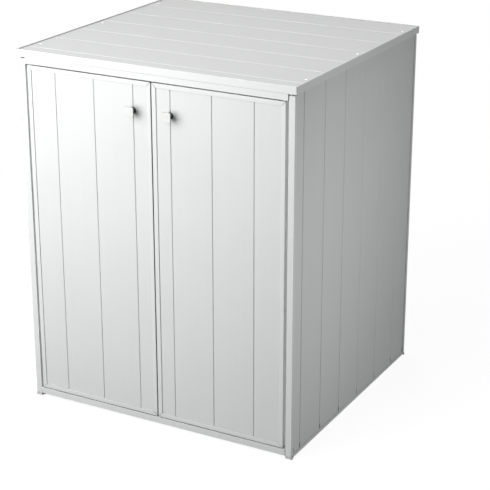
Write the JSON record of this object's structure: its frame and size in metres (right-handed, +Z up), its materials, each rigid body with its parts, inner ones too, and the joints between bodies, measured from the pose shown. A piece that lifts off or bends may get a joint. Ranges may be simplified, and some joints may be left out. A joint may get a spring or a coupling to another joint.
{
  "type": "washing machine cabinet",
  "caption": "Free-standing white metal cabinet that encloses a washing machine, with hinged doors, a hinged lid and an open back.",
  "frame": {"origin": "on the floor under the middle of the whole cabinet, knobs included", "axes": "+X to the right seen from the front, +Y from the doors to the back, +Z up"},
  "size_m": [0.77, 0.7276, 0.94],
  "materials": {
    "frame_white": "satin white powder coat",
    "board_white": "satin white powder coat on hollow boards",
    "knob_white": "smooth white lacquer",
    "grey_plastic": "moulded pale grey plastic",
    "steel": "zinc-plated steel"
  },
  "bodies": {
    "frame": {"bottom_left_pivot_pin": "steel", "bottom_right_pivot_pin": "steel", "door_catch": "grey_plastic", "front_bottom_rail": "frame_white", "front_left_foot": "grey_plastic", "front_left_post": "frame_white", "front_right_foot": "grey_plastic", "front_right_post": "frame_white", "front_top_rail": "frame_white", "hinge_frame_leaf": "steel", "hinge_pin": "steel", "left_bottom_rail": "frame_white", "left_side_panel": "board_white", "left_top_rail": "frame_white", "rear_bottom_rail": "frame_white", "rear_left_foot": "grey_plastic", "rear_left_post": "frame_white", "rear_right_foot": "grey_plastic", "rear_right_post": "frame_white", "rear_top_rail": "frame_white", "right_bottom_rail": "frame_white", "right_side_panel": "board_white", "right_top_rail": "frame_white", "top_left_pivot_pin": "steel", "top_right_pivot_pin": "steel"},
    "left_door": {"left_door_board_1": "board_white", "left_door_board_2": "board_white", "left_door_board_3": "board_white", "left_door_board_4": "board_white", "left_door_bottom_rail": "frame_white", "left_door_hinge_stile": "frame_white", "left_door_knob": "knob_white", "left_door_knob_screw": "steel", "left_door_meeting_stile": "frame_white", "left_door_strike_plate": "steel", "left_door_top_rail": "frame_white"},
    "right_door": {"right_door_board_1": "board_white", "right_door_board_2": "board_white", "right_door_board_3": "board_white", "right_door_board_4": "board_white", "right_door_bottom_rail": "frame_white", "right_door_hinge_stile": "frame_white", "right_door_knob": "knob_white", "right_door_knob_screw": "steel", "right_door_meeting_stile": "frame_white", "right_door_strike_plate": "steel", "right_door_top_rail": "frame_white"},
    "lid": {"lid_board_1": "board_white", "lid_board_2": "board_white", "lid_board_3": "board_white", "lid_board_4": "board_white", "lid_board_5": "board_white", "lid_board_6": "board_white", "lid_board_7": "board_white", "lid_front_edge": "frame_white", "lid_hinge_leaf": "steel", "lid_left_edge": "frame_white", "lid_rear_edge": "frame_white", "lid_right_edge": "frame_white", "lid_stiffener": "frame_white"}
  },
  "joints": [
    {"name": "left_door_hinge", "type": "hinge", "parent": "frame", "child": "left_door", "pos_m": [-0.35105, -0.33675, 0.465], "axis": [0, 0, -1], "range_deg": [0, 105]},
    {"name": "right_door_hinge", "type": "hinge", "parent": "frame", "child": "right_door", "pos_m": [0.35105, -0.33675, 0.465], "axis": [0, 0, 1], "range_deg": [0, 105]},
    {"name": "lid_hinge", "type": "hinge", "parent": "frame", "child": "lid", "pos_m": [0, 0.36065, 0.9178], "axis": [-1, 0, 0], "range_deg": [0, 95]}
  ]
}
